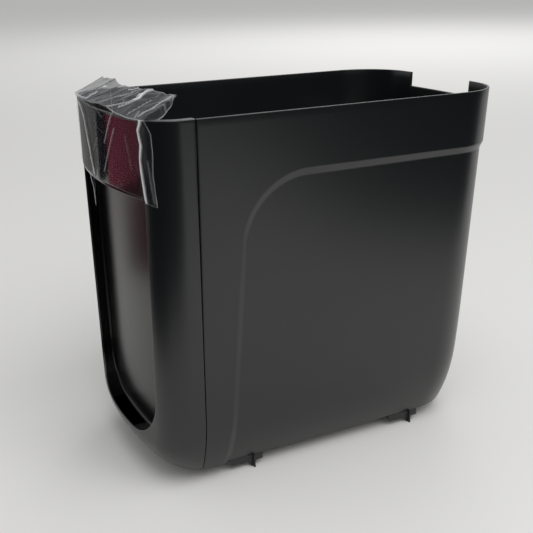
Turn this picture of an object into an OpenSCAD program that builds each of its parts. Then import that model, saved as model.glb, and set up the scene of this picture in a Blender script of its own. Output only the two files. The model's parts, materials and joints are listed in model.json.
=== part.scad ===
// Top-loading household trash compactor with a horizontal ram.
// +X is the right side, +Y the rear, +Z up. The origin is on the floor, under the middle of the housing.

/* [Housing] */
// Width of the housing at its rim
housing_width = 267; // [264:0.5:272]
// Depth of the housing at its rim
housing_depth = 447; // [444:1:452]
// Height from the lower edge of the housing to its rim
housing_height = 390; // [386:1:400]
// Thickness of the moulded walls
wall = 2.8; // [2.4:0.1:3]
// Height of the lower edge above the floor
foot_height = 15.5; // [15:0.5:18]
// Depth of the sunken field on the sides and the rear
field_depth = 3; // [1.5:0.5:3]
// Half the width of the notch in the rear rim
notch_half = 57.8; // [50:0.2:60]
// Depth of the notch in the rear rim
notch_depth = 17.6; // [10:0.2:20]

/* [Front] */
// Distance from the middle to the seam between front frame and main shell
seam_back = 162.7; // [160:0.1:166]
// Half the width of the front opening at the fascia
opening_half = 107.3; // [100:0.1:108]
// Height of the fascia
fascia_height = 78; // [70:1:84]
// Depth of the sunken front panel at its middle
recess_depth = 24; // [20:1:26]

/* [Ram] */
// Travel of the press plate
ram_travel = 180; // [150:5:190]
// Distance from the middle to each lead screw
screw_offset = 80; // [80:1:82]
// Diameter of the lead screws
screw_diameter = 12; // [10:0.5:12]
// Height of the press plate
plate_height = 256; // [200:2:260]
// Teeth on each gear
gear_teeth = 20; // [20:2:20]

/* [Hidden] */

fit = 0.05;               // radial clearance of a running fit
gap = 0.4;                // clearance between moving neighbours
arc_steps = 96;

rim_z = foot_height + housing_height;
side_draft = 10.6;
front_draft = 4.1;
rear_draft = 21.6;
front_bow_r = 433;
front_corner_r = 35.3;
rear_bow_r = 1003;
rear_corner_r = 65.5;
seam_y = -seam_back;

field_top = housing_height - 60;
field_front = -118;
field_lean = 0.073;       // lean of the field's front edge, per mm of height
field_lean_z = 260;       // height at which that edge is at field_front
field_corner_r = 72;
field_ramp = 10;

// ---- Outline of the housing at a height h above its lower edge ----
function tuck(h, depth, band, power) = h >= band ? 0 : depth * pow((band - h) / band, power);
function draft(h) = 1 - h / housing_height;
function half_width(h) = housing_width / 2 - side_draft * draft(h) - tuck(h, 16.2, 74, 2.2);
function front_at(h) = -housing_depth / 2 + front_draft * draft(h) + tuck(h, 26.3, 40, 2.15);
function rear_at(h) = housing_depth / 2 - rear_draft * draft(h) - tuck(h, 6, 135, 2);
function corner_angle(w, bow, r) = asin((w - r) / (bow - r));
function front_corner_y(h) = front_at(h) + front_bow_r
    - (front_bow_r - front_corner_r) * cos(corner_angle(half_width(h), front_bow_r, front_corner_r));
function rear_corner_y(h) = rear_at(h) - rear_bow_r
    + (rear_bow_r - rear_corner_r) * cos(corner_angle(half_width(h), rear_bow_r, rear_corner_r));
function side_x(y, h) = let (r = front_corner_r, d = max(0, front_corner_y(h) - y))
    half_width(h) - r + sqrt(r * r - d * d);
function front_bow_y(x, h) = front_at(h) + front_bow_r - sqrt(front_bow_r * front_bow_r - x * x);
function rear_bow_y(x, h) = rear_at(h) - rear_bow_r + sqrt(rear_bow_r * rear_bow_r - x * x);

function mirrored(half) = concat(half, [for (i = [len(half) - 2:-1:0]) [-half[i][0], half[i][1]]]);

// From the right seam round the rear to the left seam
side_fixed = 98;          // these stations keep their distance from the seam at every height
side_stations = concat(
    [for (i = [0:8]) i * 7],
    [for (i = [1:3]) 56 + i * 14],
    [for (i = [1:5]) side_fixed + i * 40]);
function side_y(i, h) = let (s = side_stations[i], last = side_stations[len(side_stations) - 1])
    s <= side_fixed ? seam_y + s
    : seam_y + side_fixed
        + (s - side_fixed) / (last - side_fixed) * (rear_corner_y(h) - 3 - seam_y - side_fixed);
function rear_meet_x(h) = rear_bow_r * sin(corner_angle(half_width(h), rear_bow_r, rear_corner_r));
rear_stations = [notch_half + 2, notch_half - 1, 30, 0] / rear_meet_x(housing_height);
function shell_ring(h) = let (w = half_width(h), r = rear_corner_r, cy = rear_corner_y(h),
    turn = 90 - corner_angle(w, rear_bow_r, r))
    mirrored(concat(
        [for (i = [0:len(side_stations) - 1]) [side_x(side_y(i, h), h), side_y(i, h)]],
        [for (i = [1:7]) [w - r + r * cos(turn * i / 7), cy + r * sin(turn * i / 7)]],
        [for (s = rear_stations) let (x = s * rear_meet_x(h)) [x, rear_bow_y(x, h)]]));

// From the right seam round the front to the left seam
function front_ring(h) = let (w = half_width(h), r = front_corner_r, cy = front_corner_y(h),
    meet = corner_angle(w, front_bow_r, r), start = cy > seam_y + gap ? acos((cy - seam_y + gap) / r) : 90)
    mirrored(concat(
        [[side_x(seam_y - gap, h), seam_y - gap]],
        [for (i = [1:7]) let (a = start + (meet - start) * i / 7) [w - r + r * sin(a), cy - r * cos(a)]],
        [for (i = [7:-1:0]) let (x = front_bow_r * sin(meet) * i / 8) [x, front_bow_y(x, h)]]));

// Unit normal that points out of the housing, at point i of an open outline p
function outward(p, i, turn) = let (d = p[min(i + 1, len(p) - 1)] - p[max(i - 1, 0)])
    turn * [d[1], -d[0]] / norm(d);
function smooth(t) = let (c = min(max(t, 0), 1)) c * c * (3 - 2 * c);
function sunk(y, h) = let (a = field_top - h, b = y - field_front + (field_lean_z - h) * field_lean,
    r = field_corner_r, d = a < r && b < r ? r - norm([r - a, r - b]) : min(a, b))
    field_depth * smooth(d / field_ramp);

// The notch is the middle columns of the shell, which end lower than the rest
mid_column = len(side_stations) + 7 + len(rear_stations) - 1;
function shell_skin(level, inset) = [for (i = [0:2 * mid_column])
    let (in_notch = abs(i - mid_column) < len(rear_stations) - 1,
        h = in_notch ? level * (1 - notch_depth / housing_height) : level,
        ring = shell_ring(h), p = ring[i] - outward(ring, i, 1) * (sunk(ring[i][1], h) + inset))
    [p[0], p[1], h + foot_height]];
function front_skin(h, inset) = let (ring = front_ring(h))
    [for (i = [0:len(ring) - 1]) let (p = ring[i] - outward(ring, i, -1) * inset)
        [p[0], p[1], h + foot_height]];

// Quads of a grid of points, as triangles; the first point has number base
function grid_faces(rows, cols, base, flip) = [for (r = [0:rows - 2], c = [0:cols - 2])
    let (a = base + r * cols + c, b = a + 1, d = a + cols, e = d + 1)
    each flip ? [[a, e, d], [a, b, e]] : [[a, d, e], [a, e, b]]];
function strip(a, b, step_a, step_b, n) = [for (i = [0:n - 2])
    let (p = a + i * step_a, q = p + step_a, r = b + i * step_b, s = r + step_b)
    each [[p, q, s], [p, s, r]]];

// Closed sheet between two grids of points of the same size, outer and inner
module thick_sheet(outer, inner, flip = false) {
    rows = len(outer);
    cols = len(outer[0]);
    k = rows * cols;
    top = (rows - 1) * cols;
    faces = concat(
        grid_faces(rows, cols, 0, false), grid_faces(rows, cols, k, true),
        strip(0, k, 1, 1, cols), strip(k + top, top, 1, 1, cols),
        strip(k, 0, cols, cols, rows), strip(cols - 1, k + cols - 1, cols, cols, rows));
    polyhedron(concat([for (r = outer) each r], [for (r = inner) each r]),
        flip ? [for (f = faces) [f[0], f[2], f[1]]] : faces, convexity = 10);
}

// Closed body between stacked convex rings of points, each clockwise from above
module loft(rings) {
    cols = len(rings[0]);
    rows = len(rings);
    top = (rows - 1) * cols;
    sides = [for (r = [0:rows - 2], c = [0:cols - 1])
        let (a = r * cols + c, b = r * cols + (c + 1) % cols)
        each [[a, b + cols, a + cols], [a, b, b + cols]]];
    ends = [for (c = [1:cols - 2]) each [[0, c + 1, c], [top, top + c, top + c + 1]]];
    polyhedron([for (r = rings) each r], concat(sides, ends), convexity = 10);
}

module box(x, y, z) {
    translate([x[0], y[0], z[0]]) cube([x[1] - x[0], y[1] - y[0], z[1] - z[0]]);
}

// Cylinder along Y from y0 to y1, at x, z
module bar_y(x, z, r, y0, y1) {
    translate([x, y1, z]) rotate([90, 0, 0]) cylinder(r = r, h = y1 - y0, $fn = arc_steps);
}

module both_sides() {
    for (side = [-1, 1]) scale_x(side) children();
}

module scale_x(side) {
    if (side > 0) children();
    else mirror([1, 0, 0]) children();
}

module rounded_rect(half_x, y0, y1, r) {
    translate([-half_x + r, y0]) square([2 * (half_x - r), y1 - y0]);
    translate([-half_x, y0 + r]) square([2 * half_x, y1 - y0 - 2 * r]);
    for (x = [-half_x + r, half_x - r], y = [y0 + r, y1 - r])
        translate([x, y]) circle(r, $fn = arc_steps);
}

// ---- Housing ----
shell_levels = [0, 4, 10, 18, 30, 45, 65, 95, 135, 180, 225, 255, 280, 300, 312, 320, 325, 330, 334,
    352, 372, housing_height];
front_levels = [0, 3, 7, 12, 18, 25, 32, 40, 56, 74, 140, 210, 280, 340, housing_height];

boss_ys = [-72, 0, 72];
boss_x = 92;
boss_height = 12;

module shell_boss() {
    translate([boss_x, 0, base_top]) difference() {
        union() {
            cylinder(r = 5, h = boss_height, $fn = arc_steps);
            rotate([90, 0, 0]) translate([0, 0, -1.5]) linear_extrude(3)
                polygon([[3, 0], [12.6, 0], [17.4, boss_height], [3, boss_height]]);
        }
        translate([0, 0, -1]) cylinder(r = 1.6, h = boss_height - 1, $fn = arc_steps);
    }
}

inlet_x = [-66, 6];
inlet_z = [62, 104];

module main_shell() {
    color("#2b2d2f") {
        difference() {
            thick_sheet(
                [for (h = shell_levels) shell_skin(h, 0)],
                [for (h = shell_levels) shell_skin(h, wall)]);
            box(inlet_x, [170, 230], inlet_z);
        }
        both_sides() for (y = boss_ys) translate([0, y, 0]) shell_boss();
    }
}

// Outline of the front opening in X and height, with round lower corners
opening_r = 60;
opening_low = 37;
opening_low_half = 99.2;  // half the width of the opening, 100 mm above the lower edge
opening_slope = (opening_half - opening_low_half) / (housing_height - fascia_height - 100);
function opening_points(inset) = let (
    lean = atan(opening_slope),
    r = opening_r - inset,
    z = opening_low + opening_r,
    cx = opening_half - opening_slope * (housing_height - fascia_height - z) - opening_r / cos(lean),
    top = opening_half - inset / cos(lean),
    corner = [for (i = [0:12]) let (a = -90 + i / 12 * (90 - lean)) [cx + r * cos(a), z + r * sin(a)]],
    right = concat(corner, [[top, housing_height - fascia_height], [top, housing_height + 20]]))
    concat(right, [for (i = [len(right) - 1:-1:0]) [-right[i][0], right[i][1]]]);

module opening_prism(inset, y0, y1) {
    translate([0, y1, foot_height]) rotate([90, 0, 0])
        linear_extrude(y1 - y0) polygon(opening_points(inset));
}

module front_volume(inset) {
    loft([for (h = front_levels) front_skin(h, inset)]);
}

flange_z = rim_z - 3.5;   // ledge inside the front frame on which the lid closes

module front_frame() {
    color("#26282b") {
        difference() {
            thick_sheet(
                [for (h = front_levels) front_skin(h, 0)],
                [for (h = front_levels) front_skin(h, wall)], true);
            opening_prism(0, -240, -180);
        }
        intersection() {
            front_volume(wall - 0.2);
            difference() {
                box([-140, 140], [-230, seam_y - 20], [flange_z - 2.5, flange_z]);
                box([-opening_half, opening_half], [-230, fascia_back_y], [flange_z - 3, flange_z + 1]);
            }
        }
    }
}

fascia_bottom = rim_z - fascia_height;
fascia_back_y = -housing_depth / 2 + 20;

// Slab that follows the bow of the front, from depth d0 to depth d1 behind its face
module bowed_slab(half, d0, d1, z0, z1, bow = front_bow_r) {
    y = -housing_depth / 2;
    translate([0, 0, z0]) linear_extrude(z1 - z0) intersection() {
        difference() {
            translate([0, y + bow + d0]) circle(bow, $fn = 360);
            translate([0, y + bow + d1]) circle(bow, $fn = 360);
        }
        translate([-half, y - 1]) square([2 * half, 60]);
    }
}

recess_wall = 2.2;
recess_side = 2;
recess_bow_r = 900;

module recess_panel() {
    color("#303234") {
        intersection() {
            front_volume(0.8);
            difference() {
                opening_prism(0, -230, -housing_depth / 2 + recess_depth + 12);
                opening_prism(recess_side, -240, -180);
                box([-140, 140], [-240, -180], [fascia_bottom, rim_z + 20]);
            }
        }
        intersection() {
            opening_prism(recess_side, -230, -160);
            bowed_slab(opening_half - 1, recess_depth, recess_depth + recess_wall,
                foot_height + opening_low - 7, fascia_bottom, recess_bow_r);
        }
    }
}

fascia_thickness = 3.2;

module control_fascia() {
    color("#101113") {
        bowed_slab(opening_half - 0.3, 0.2, fascia_thickness, fascia_bottom, rim_z - 0.4);
        bowed_slab(opening_half - 4, fascia_thickness, 13, fascia_bottom, fascia_bottom + 2);
        bowed_slab(opening_half - 4, fascia_thickness, 12, rim_z - 2.4, rim_z - 0.4);
    }
}

// Crumpled clear film: down the fascia, and folded back over the rim as a stiff flap
film_thickness = 0.5;
film_gap = 0.5;
flap_y = -178;
flap_rise = 18;
film_columns = concat(
    [-114, -110, -106, -102],
    [for (i = [-6:6]) i * 16],
    [102, 106, 110, 114, 118, 121]);
function film_front(x, depth) = let (w = half_width(housing_height), r = front_corner_r,
    edge = front_bow_r * sin(corner_angle(w, front_bow_r, r)), a = abs(x))
    (a < edge ? front_bow_y(a, housing_height)
        : front_corner_y(housing_height) - sqrt(r * r - pow(a - w + r, 2))) - depth;
function film_rows(depth) = concat(
    [for (z = [fascia_bottom - 4, fascia_bottom + 22, fascia_bottom + 48, rim_z + 0.2 + depth])
        [for (x = film_columns) [x, film_front(x, depth), z]]],
    [for (s = [0.33, 0.66, 1]) [for (x = film_columns)
        [x * (1 - 0.06 * s), film_front(x, 0) * (1 - s) + flap_y * s, rim_z + 0.2 + depth + flap_rise * s]]]);

module protective_film() {
    color("#b9c0c4", 0.4) thick_sheet(film_rows(film_gap + film_thickness), film_rows(film_gap), true);
}

// ---- Feet and base ----
base_thickness = 3;
base_bottom = foot_height + 2;
base_top = base_bottom + base_thickness;
vent_xs = [-60:12:60];
vent_ys = [-52, 8];
tab_x = 100;
tab_top = foot_height - 0.3;

// A tab under the side edge with a hooked tip that stands on the floor
module foot_tab(side, y) {
    scale_x(side) translate([tab_x, y, 0]) {
        rotate([90, 0, 90]) linear_extrude(3) polygon([
            [-30, tab_top], [-26, 7], [-5, 7], [-1.5, 0],
            [2.5, 0], [3.5, 7], [12, 7], [12, tab_top]]);
        translate([3, -0.5, 0]) cube([3.6, 1.6, tab_top]);
        translate([-15, -30, base_bottom - 2.5]) cube([15.4, 42, 2.5]);
    }
}

front_tab_y = -99;
rear_tab_y = 116;

module foot_tab_front_left() { color("#1b1c1d") foot_tab(-1, front_tab_y); }
module foot_tab_front_right() { color("#1b1c1d") foot_tab(1, front_tab_y); }
module foot_tab_rear_left() { color("#1b1c1d") foot_tab(-1, rear_tab_y - 1); }
module foot_tab_rear_right() { color("#1b1c1d") foot_tab(1, rear_tab_y - 1); }

module base_plate() {
    color("#3a3c3e") difference() {
        translate([0, 0, base_bottom]) linear_extrude(base_thickness) rounded_rect(98, -184, 184, 50);
        both_sides() for (y = boss_ys) translate([boss_x, y, 0]) cylinder(r = 1.9, h = 40, $fn = arc_steps);
        for (x = vent_xs, y = vent_ys) translate([x - 2, y, base_bottom - 1]) cube([4, 44, 5]);
    }
}

module pan_screw(r, length) {
    cylinder(r = r, h = length, $fn = arc_steps);
    translate([0, 0, -1.8]) difference() {
        cylinder(r = 2 * r, h = 1.8, $fn = arc_steps);
        translate([0, 0, -0.1]) cylinder(r = r * 0.8, h = 1.1, $fn = 6);
    }
}

module base_screws() {
    color("#8d9093") both_sides() for (y = boss_ys)
        translate([boss_x, y, base_bottom]) pan_screw(1.5, boss_height);
}

// ---- Chamber ----
liner_half = 96;
liner_wall = 1.5;
liner_y = [-160, 142];
liner_r = 6.5;
liner_floor = 73.5;
liner_low = liner_floor - liner_wall;
deck_z = 348;
arm_x = 66;
slot_half = 5;
slot_y = [-140, 132];

module chamber_liner() {
    outer = liner_half + liner_wall;
    color("#b7bcc0") difference() {
        translate([0, 0, liner_low]) linear_extrude(deck_z - liner_low)
            rounded_rect(outer, liner_y[0], liner_y[1], liner_r + liner_wall);
        translate([0, 0, liner_floor]) linear_extrude(400)
            rounded_rect(liner_half, liner_y[0] + liner_wall, liner_y[1] - liner_wall, liner_r);
        both_sides() box([arm_x - slot_half, arm_x + slot_half], slot_y, [liner_low - 1, liner_floor + 1]);
    }
}

module floor_seals() {
    color("#17181a") both_sides() for (x = [[arm_x - 14, arm_x - 3 - gap], [arm_x + 3 + gap, arm_x + 14]])
        box(x, slot_y, [liner_low - 1.5, liner_low]);
}

deck_thickness = 3;
deck_top = deck_z + deck_thickness;
lever_x = 112;
lever_y = 60;

// Trim round the chamber mouth, with a hole for the tail of the lid lever
module deck_frame() {
    color("#2a2c2e") difference() {
        translate([0, 0, deck_z]) linear_extrude(deck_thickness) rounded_rect(122, -186, 190, 30);
        translate([0, 0, deck_z - 1]) linear_extrude(5)
            rounded_rect(liner_half - 1, liner_y[0] + 3, liner_y[1] - 3, 6);
        box([lever_x - 5, lever_x + 5], [lever_y - 5, lever_y + 5], [deck_z - 1, deck_top + 1]);
    }
}

hinge_x = -108;
hinge_z = deck_z + 7;
hinge_r = 1.5;
bag_half = 103;
bag_y = [-158, 140];
bag_rail = 9;
knuckles = [-120, 100];

// Ring that clamps the bag round the chamber mouth, with two hinge knuckles on the left
module bag_frame() {
    color("#4a4d50") difference() {
        union() {
            difference() {
                translate([0, 0, deck_top + gap]) linear_extrude(5)
                    rounded_rect(bag_half, bag_y[0], bag_y[1], 12);
                translate([0, 0, deck_z]) linear_extrude(12)
                    rounded_rect(bag_half - 10, bag_y[0] + bag_rail, bag_y[1] - bag_rail, 5);
            }
            for (y = knuckles) {
                bar_y(hinge_x, hinge_z, 3.2, y - 7, y + 7);
                box([hinge_x, -100], [y - 7, y + 7], [hinge_z - 1.5, hinge_z + 1.4]);
            }
        }
        for (y = knuckles) bar_y(hinge_x, hinge_z, hinge_r + fit, y - 20, y + 20);
    }
}

// Pins in lugs that stand on the deck at both ends of each knuckle
module hinge_pins() {
    color("#9a9da0") for (y = knuckles) {
        bar_y(hinge_x, hinge_z, hinge_r, y - 11, y + 11);
        for (y0 = [y - 11, y + 8]) {
            box([hinge_x - 3, hinge_x + 3], [y0, y0 + 3], [deck_top, hinge_z + 3]);
        }
    }
}

// ---- Drive ----
screw_z = 46;
screw_r = screw_diameter / 2;
journal_r = 4;
rail_x = 56;
rail_z = screw_z;
rail_r = 5;
front_plate_y = [-158, -155];
rear_plate_y = [137, 140];
gear_y = [143, 153];
outer_plate_y = [156, 159];
gear_spacing = screw_offset / 2;
gear_module = screw_offset / 2 / gear_teeth;
pitch_r = gear_module * gear_teeth / 2;
pressure_angle = 20;
backlash = 0.12;
bush_r = 6.5;
idler_r = 3;
bolt_circle = 14;         // radius of the ring of screws that hold the gearbox
bolt_r = 1.25;
spigot_r = 7;             // nose of the gearbox that centres it in the rear plate
plate_half_x = 96;
plate_foot = 12;

module sheet_plate(half_x, y, z) {
    box([-half_x, half_x], y, z);
}

module front_bulkhead() {
    color("#8f9498") difference() {
        union() {
            sheet_plate(plate_half_x, front_plate_y, [base_top, liner_low]);
            sheet_plate(plate_half_x, [front_plate_y[1], front_plate_y[1] + plate_foot],
                [base_top, base_top + 3]);
        }
        both_sides() {
            bar_y(screw_offset, screw_z, bush_r, -170, -150);
            bar_y(rail_x, rail_z, rail_r, -170, -150);
        }
    }
}

// Four bars along Y, on the ring of gearbox screws
module bolt_ring(r, y0, y1) {
    for (a = [45:90:315]) bar_y(bolt_circle * cos(a), screw_z + bolt_circle * sin(a), r, y0, y1);
}

module rear_bulkhead() {
    color("#8f9498") difference() {
        union() {
            sheet_plate(plate_half_x, rear_plate_y, [base_top, liner_low]);
            sheet_plate(plate_half_x, [rear_plate_y[0] - plate_foot, rear_plate_y[0]],
                [base_top, base_top + 3]);
        }
        both_sides() {
            bar_y(screw_offset, screw_z, bush_r, 130, 150);
            bar_y(rail_x, rail_z, rail_r, 130, 150);
            bar_y(gear_spacing, screw_z, idler_r, 130, 150);
        }
        bar_y(0, screw_z, spigot_r, 130, 150);
        bolt_ring(bolt_r + 0.35, 130, 150);
    }
}

module bearing_plate() {
    color("#8f9498") difference() {
        sheet_plate(plate_half_x - 4, outer_plate_y, [screw_z - 21, screw_z + 21]);
        for (x = [-screw_offset, 0, screw_offset]) bar_y(x, screw_z, journal_r + fit, 150, 170);
        both_sides() bar_y(gear_spacing, screw_z, idler_r, 150, 170);
    }
}

// Spacers that carry the bearing plate behind the gears, each in the gap between two gears
module plate_spacers() {
    color("#a5a8ab") both_sides() for (z = [-16, 16])
        bar_y(1.5 * gear_spacing, screw_z + z, 3, rear_plate_y[1], outer_plate_y[0]);
}

module guide_rail(side) {
    bar_y(side * rail_x, rail_z, rail_r, front_plate_y[0], rear_plate_y[1]);
}

module guide_rail_left() { color("#c9ccd0") guide_rail(-1); }
module guide_rail_right() { color("#c9ccd0") guide_rail(1); }

module flanged_bush(x, plate, flange_dir) {
    difference() {
        union() {
            bar_y(x, screw_z, bush_r, plate[0], plate[1]);
            if (flange_dir > 0) bar_y(x, screw_z, bush_r + 2, plate[1], plate[1] + 1.5);
            else bar_y(x, screw_z, bush_r + 2, plate[0] - 1.5, plate[0]);
        }
        bar_y(x, screw_z, journal_r + fit, plate[0] - 5, plate[1] + 5);
    }
}

module front_bushes() { color("#b08d4a") both_sides() flanged_bush(screw_offset, front_plate_y, 1); }
module rear_bushes() { color("#b08d4a") both_sides() flanged_bush(screw_offset, rear_plate_y, -1); }

module lead_screw(side) {
    x = side * screw_offset;
    bar_y(x, screw_z, screw_r, front_plate_y[1] + 2, rear_plate_y[0] - 2);
    bar_y(x, screw_z, journal_r, front_plate_y[0], outer_plate_y[1]);
}

module lead_screw_left() { color("#c3c6ca") lead_screw(-1); }
module lead_screw_right() { color("#c3c6ca") lead_screw(1); }

function involute(base, a) = base * [cos(a) + a * PI / 180 * sin(a), sin(a) - a * PI / 180 * cos(a)];
function turned(p, a) = [p[0] * cos(a) - p[1] * sin(a), p[0] * sin(a) + p[1] * cos(a)];
function roll_to(base, r) = sqrt(max(0, pow(r / base, 2) - 1)) * 180 / PI;

function tooth(k) = let (
    base = pitch_r * cos(pressure_angle),
    tip = pitch_r + gear_module,
    root = pitch_r - 1.25 * gear_module,
    flank_start = max(base, root + 0.4),
    half = 90 / gear_teeth + (tan(pressure_angle) * 180 / PI - pressure_angle)
        - backlash / pitch_r * 90 / PI,
    flank = [for (i = [0:6]) let (r = flank_start + (tip - flank_start) * i / 6)
        turned(involute(base, roll_to(base, r)), -half)],
    upper = [for (i = [6:-1:0]) [flank[i][0], -flank[i][1]]],
    low = [for (s = [-1, 1]) root * [cos(s * half * 1.15), sin(s * half * 1.15)]])
    [for (p = concat([low[0]], flank, upper, [low[1]])) turned(p, 360 / gear_teeth * k)];

// Spur gear about Y at x; the odd ones in the row stand half a tooth round
module spur_gear(x, odd, bore) {
    translate([x, gear_y[1], screw_z]) rotate([90, 0, 0])
        linear_extrude(gear_y[1] - gear_y[0]) difference() {
            rotate(odd ? 180 / gear_teeth : 0) polygon([for (k = [0:gear_teeth - 1]) each tooth(k)]);
            circle(bore, $fn = arc_steps);
        }
}

module screw_gear_left() { color("#d8d3c4") spur_gear(-screw_offset, false, journal_r); }
module screw_gear_right() { color("#d8d3c4") spur_gear(screw_offset, false, journal_r); }
module idler_gear_left() { color("#e2ddcf") spur_gear(-gear_spacing, true, idler_r + fit); }
module idler_gear_right() { color("#e2ddcf") spur_gear(gear_spacing, true, idler_r + fit); }
module drive_gear() { color("#b08d4a") spur_gear(0, false, journal_r); }

module idler_pins() {
    color("#b5b8bb") both_sides()
        bar_y(gear_spacing, screw_z, idler_r, rear_plate_y[0], outer_plate_y[1]);
}

gearbox_front = 112;
motor_r = 18.5;
motor_length = 58;
bolt_start = gearbox_front + 15;

module drive_shaft() {
    color("#b5b8bb") bar_y(0, screw_z, journal_r, gearbox_front + 8, outer_plate_y[1]);
}

module gearbox() {
    color("#9b9ea1") difference() {
        union() {
            bar_y(0, screw_z, motor_r, gearbox_front, rear_plate_y[0]);
            bar_y(0, screw_z, spigot_r, rear_plate_y[0], rear_plate_y[1]);
        }
        bar_y(0, screw_z, journal_r + fit, gearbox_front + 7.5, 150);
        bolt_ring(bolt_r, bolt_start, 150);
    }
}

// Motor with its end bearing and two terminals
module motor() {
    motor_end = gearbox_front - motor_length;
    color("#6e7275") {
        bar_y(0, screw_z, motor_r - 0.5, motor_end, gearbox_front);
        bar_y(0, screw_z, 6.5, motor_end - 3, motor_end);
        for (x = [-10, 10])
            box([x - 1.4, x + 1.4], [motor_end - 8, motor_end], [screw_z - 0.4, screw_z + 0.4]);
    }
}

module gearbox_screws() {
    color("#8d9093") {
        bolt_ring(bolt_r, bolt_start, rear_plate_y[1]);
        bolt_ring(2.4, rear_plate_y[1], rear_plate_y[1] + 1.6);
    }
}

// ---- Ram ----
plate_y = [95, 98];
plate_half = 94;
plate_z = [liner_floor + 1.5, liner_floor + 1.5 + plate_height];
stiffener_y = [plate_y[1], plate_y[1] + 11];
carriage_y = [100, 126];
carriage_z = [screw_z - 12, screw_z + 12];
nut_r = 9;
arm_half = 3;
arm_bolts = [106, 120];
arm_bolt_r = 1.5;

module press_plate() {
    color("#c4c8cb") {
        box([-plate_half, plate_half], plate_y, plate_z);
    }
}

// Upright bars welded to the back of the press plate; the arms bolt on behind two of them
module plate_stiffeners() {
    color("#b4b8bc") {
        both_sides() {
            box([plate_half - 3, plate_half], stiffener_y, plate_z);
            box([arm_x - arm_half, arm_x + arm_half], stiffener_y, plate_z);
        }
        box([-1.5, 1.5], stiffener_y, plate_z);
    }
}

module ram_arm() {
    color("#a9adb1") translate([arm_x - arm_half, 0, 0]) difference() {
        rotate([90, 0, 90]) linear_extrude(2 * arm_half) polygon([
            [carriage_y[0], carriage_z[1]],
            [carriage_y[1], carriage_z[1]],
            [carriage_y[1], liner_floor + 20],
            [stiffener_y[1] + 3, liner_floor + 110],
            [stiffener_y[1], liner_floor + 110],
            [stiffener_y[1], liner_floor + 1],
            [carriage_y[0], liner_floor - 7.5]]);
        for (y = arm_bolts) translate([arm_half, y, carriage_z[1] - 1])
            cylinder(r = arm_bolt_r, h = 9, $fn = arc_steps);
    }
}

module ram_arm_left() { scale_x(-1) ram_arm(); }
module ram_arm_right() { ram_arm(); }

module carriage() {
    color("#3f4245") difference() {
        box([rail_x - 9, screw_offset + 12], carriage_y, carriage_z);
        bar_y(screw_offset, screw_z, nut_r, 0, 200);
        bar_y(rail_x, rail_z, rail_r + fit, 0, 200);
        for (y = arm_bolts) translate([arm_x, y, 0]) {
            cylinder(r = arm_bolt_r, h = 100, $fn = arc_steps);
            cylinder(r = 3.2, h = carriage_z[0] + 3, $fn = arc_steps);
        }
    }
}

module carriage_left() { scale_x(-1) carriage(); }
module carriage_right() { carriage(); }

module screw_nuts() {
    color("#b08d4a") both_sides() difference() {
        union() {
            bar_y(screw_offset, screw_z, nut_r, carriage_y[0], carriage_y[1]);
            bar_y(screw_offset, screw_z, nut_r + 2.5, carriage_y[0] - 3, carriage_y[0]);
        }
        bar_y(screw_offset, screw_z, screw_r + fit, 0, 200);
    }
}

module arm_screws() {
    color("#8d9093") both_sides() for (y = arm_bolts) translate([arm_x, y, carriage_z[0]]) {
        cylinder(r = arm_bolt_r, h = 31, $fn = arc_steps);
        cylinder(r = 2.8, h = 3, $fn = arc_steps);
    }
}

// Hall sensors on the base that read the carriage at both ends of its travel
module position_sensors() {
    color("#1d3b2a") for (y = [carriage_y[0] - ram_travel, carriage_y[0]]) {
        box([rail_x - 8, rail_x + 8], [y, y + 14], [base_top, base_top + 1.6]);
        box([rail_x - 4, rail_x + 4], [y + 3, y + 9], [base_top + 1.6, base_top + 6]);
    }
}

// ---- Electrics ----
board_thickness = 1.6;
board_y = -203;
board_back = board_y + board_thickness;
board_half = 90;
board_z = [rim_z - 70, rim_z - 34];

module control_board() {
    color("#1d4a33") {
        box([-board_half, board_half], [board_y, board_back], board_z);
        for (x = [-60, -20, 30])
            box([x, x + 14], [board_back, board_back + 2.4], [board_z[0] + 12, board_z[0] + 24]);
        box([52, 72], [board_back, board_back + 7.4], [board_z[0] + 3, board_z[0] + 11]);
    }
}

module touch_springs() {
    color("#c9a24a") for (x = [-44, 0, 44]) difference() {
        bar_y(x, (board_z[0] + board_z[1]) / 2, 5, -housing_depth / 2, board_y);
        bar_y(x, (board_z[0] + board_z[1]) / 2, 3.6, -240, board_y - 1);
        bowed_slab(opening_half, -20, fascia_thickness, board_z[0], board_z[1]);
    }
}

module board_cover() {
    color("#333638") difference() {
        box([-board_half - 2, board_half + 2], [board_y - 17, board_y + 15],
            [board_z[0] - 3, board_z[1] + 3]);
        box([-board_half, board_half], [board_y - 18, board_y + 13], [board_z[0] - 1, board_z[1] + 1]);
        bowed_slab(100, -20, fascia_thickness, board_z[0] - 4, board_z[1] + 4);
    }
}

power_y = 168;

// Board with its transformer, relay, capacitors, heat sink and terminals
module power_board() {
    color("#1d4a33") {
        box([-40, 50], [power_y, power_y + board_thickness], [120, 230]);
        box([-34, 0], [power_y - 20, power_y], [128, 160]);
        box([14, 44], [power_y - 15, power_y], [130, 146]);
        for (x = [-26, -8]) bar_y(x, 190, 6, power_y - 20, power_y);
        box([8, 44], [power_y - 11, power_y], [176, 204]);
        box([-34, 44], [power_y - 8, power_y], [212, 222]);
    }
}

module board_posts() {
    color("#d5d7d9") for (x = [-36, 46], z = [124, 226]) bar_y(x, z, 3, liner_y[1], power_y);
}

filter_half = 50;
filter_y = [liner_y[1] + 2, liner_y[1] + 24];
filter_z = [248, 338];

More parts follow.
